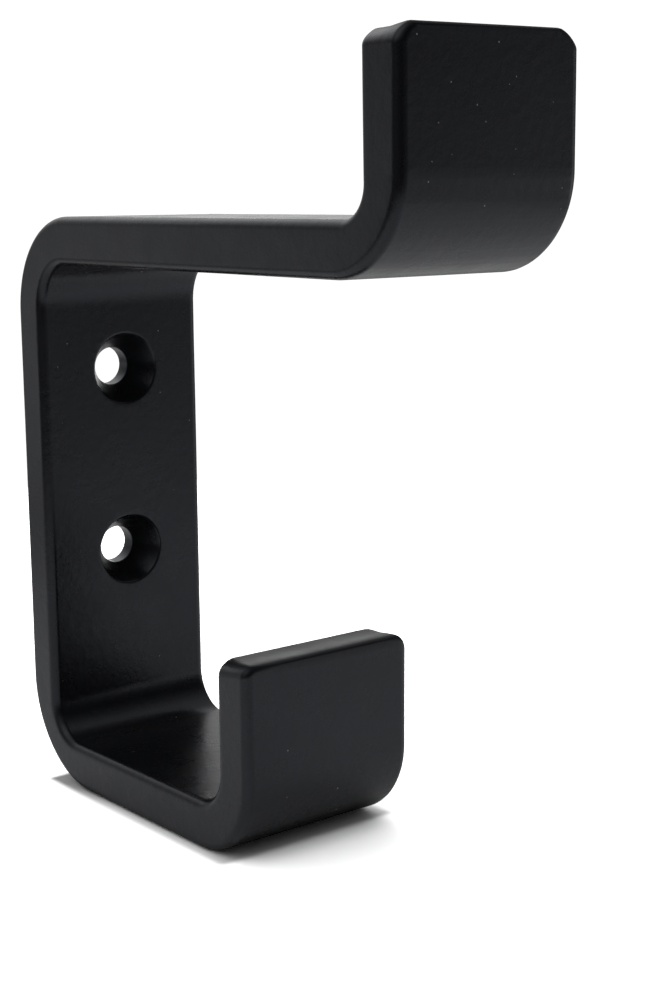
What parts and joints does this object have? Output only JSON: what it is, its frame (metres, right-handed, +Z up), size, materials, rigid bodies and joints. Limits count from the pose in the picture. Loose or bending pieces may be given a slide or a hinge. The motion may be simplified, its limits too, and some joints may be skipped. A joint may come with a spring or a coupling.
{
  "type": "double wall hook",
  "caption": "Double wall hook bent from one flat metal bar: long upper arm and short lower arm with upturned square tips, and a plate with countersunk screw holes.",
  "frame": {"origin": "on the flat wall face of the plate, at the middle of the bar's width, half way up between the two screw holes", "axes": "+Y is the outward normal of the wall face and points into the wall, so the arms reach out along -Y; +Z is up; +X runs across the bar's width"},
  "size_m": [0.0254, 0.0809, 0.0985],
  "materials": {
    "black_powder_coat": "satin black powder coat over steel flat bar, fine orange peel, softly rounded edges"
  },
  "bodies": {
    "root": {"hook_bar": "black_powder_coat"}
  },
  "joints": []
}
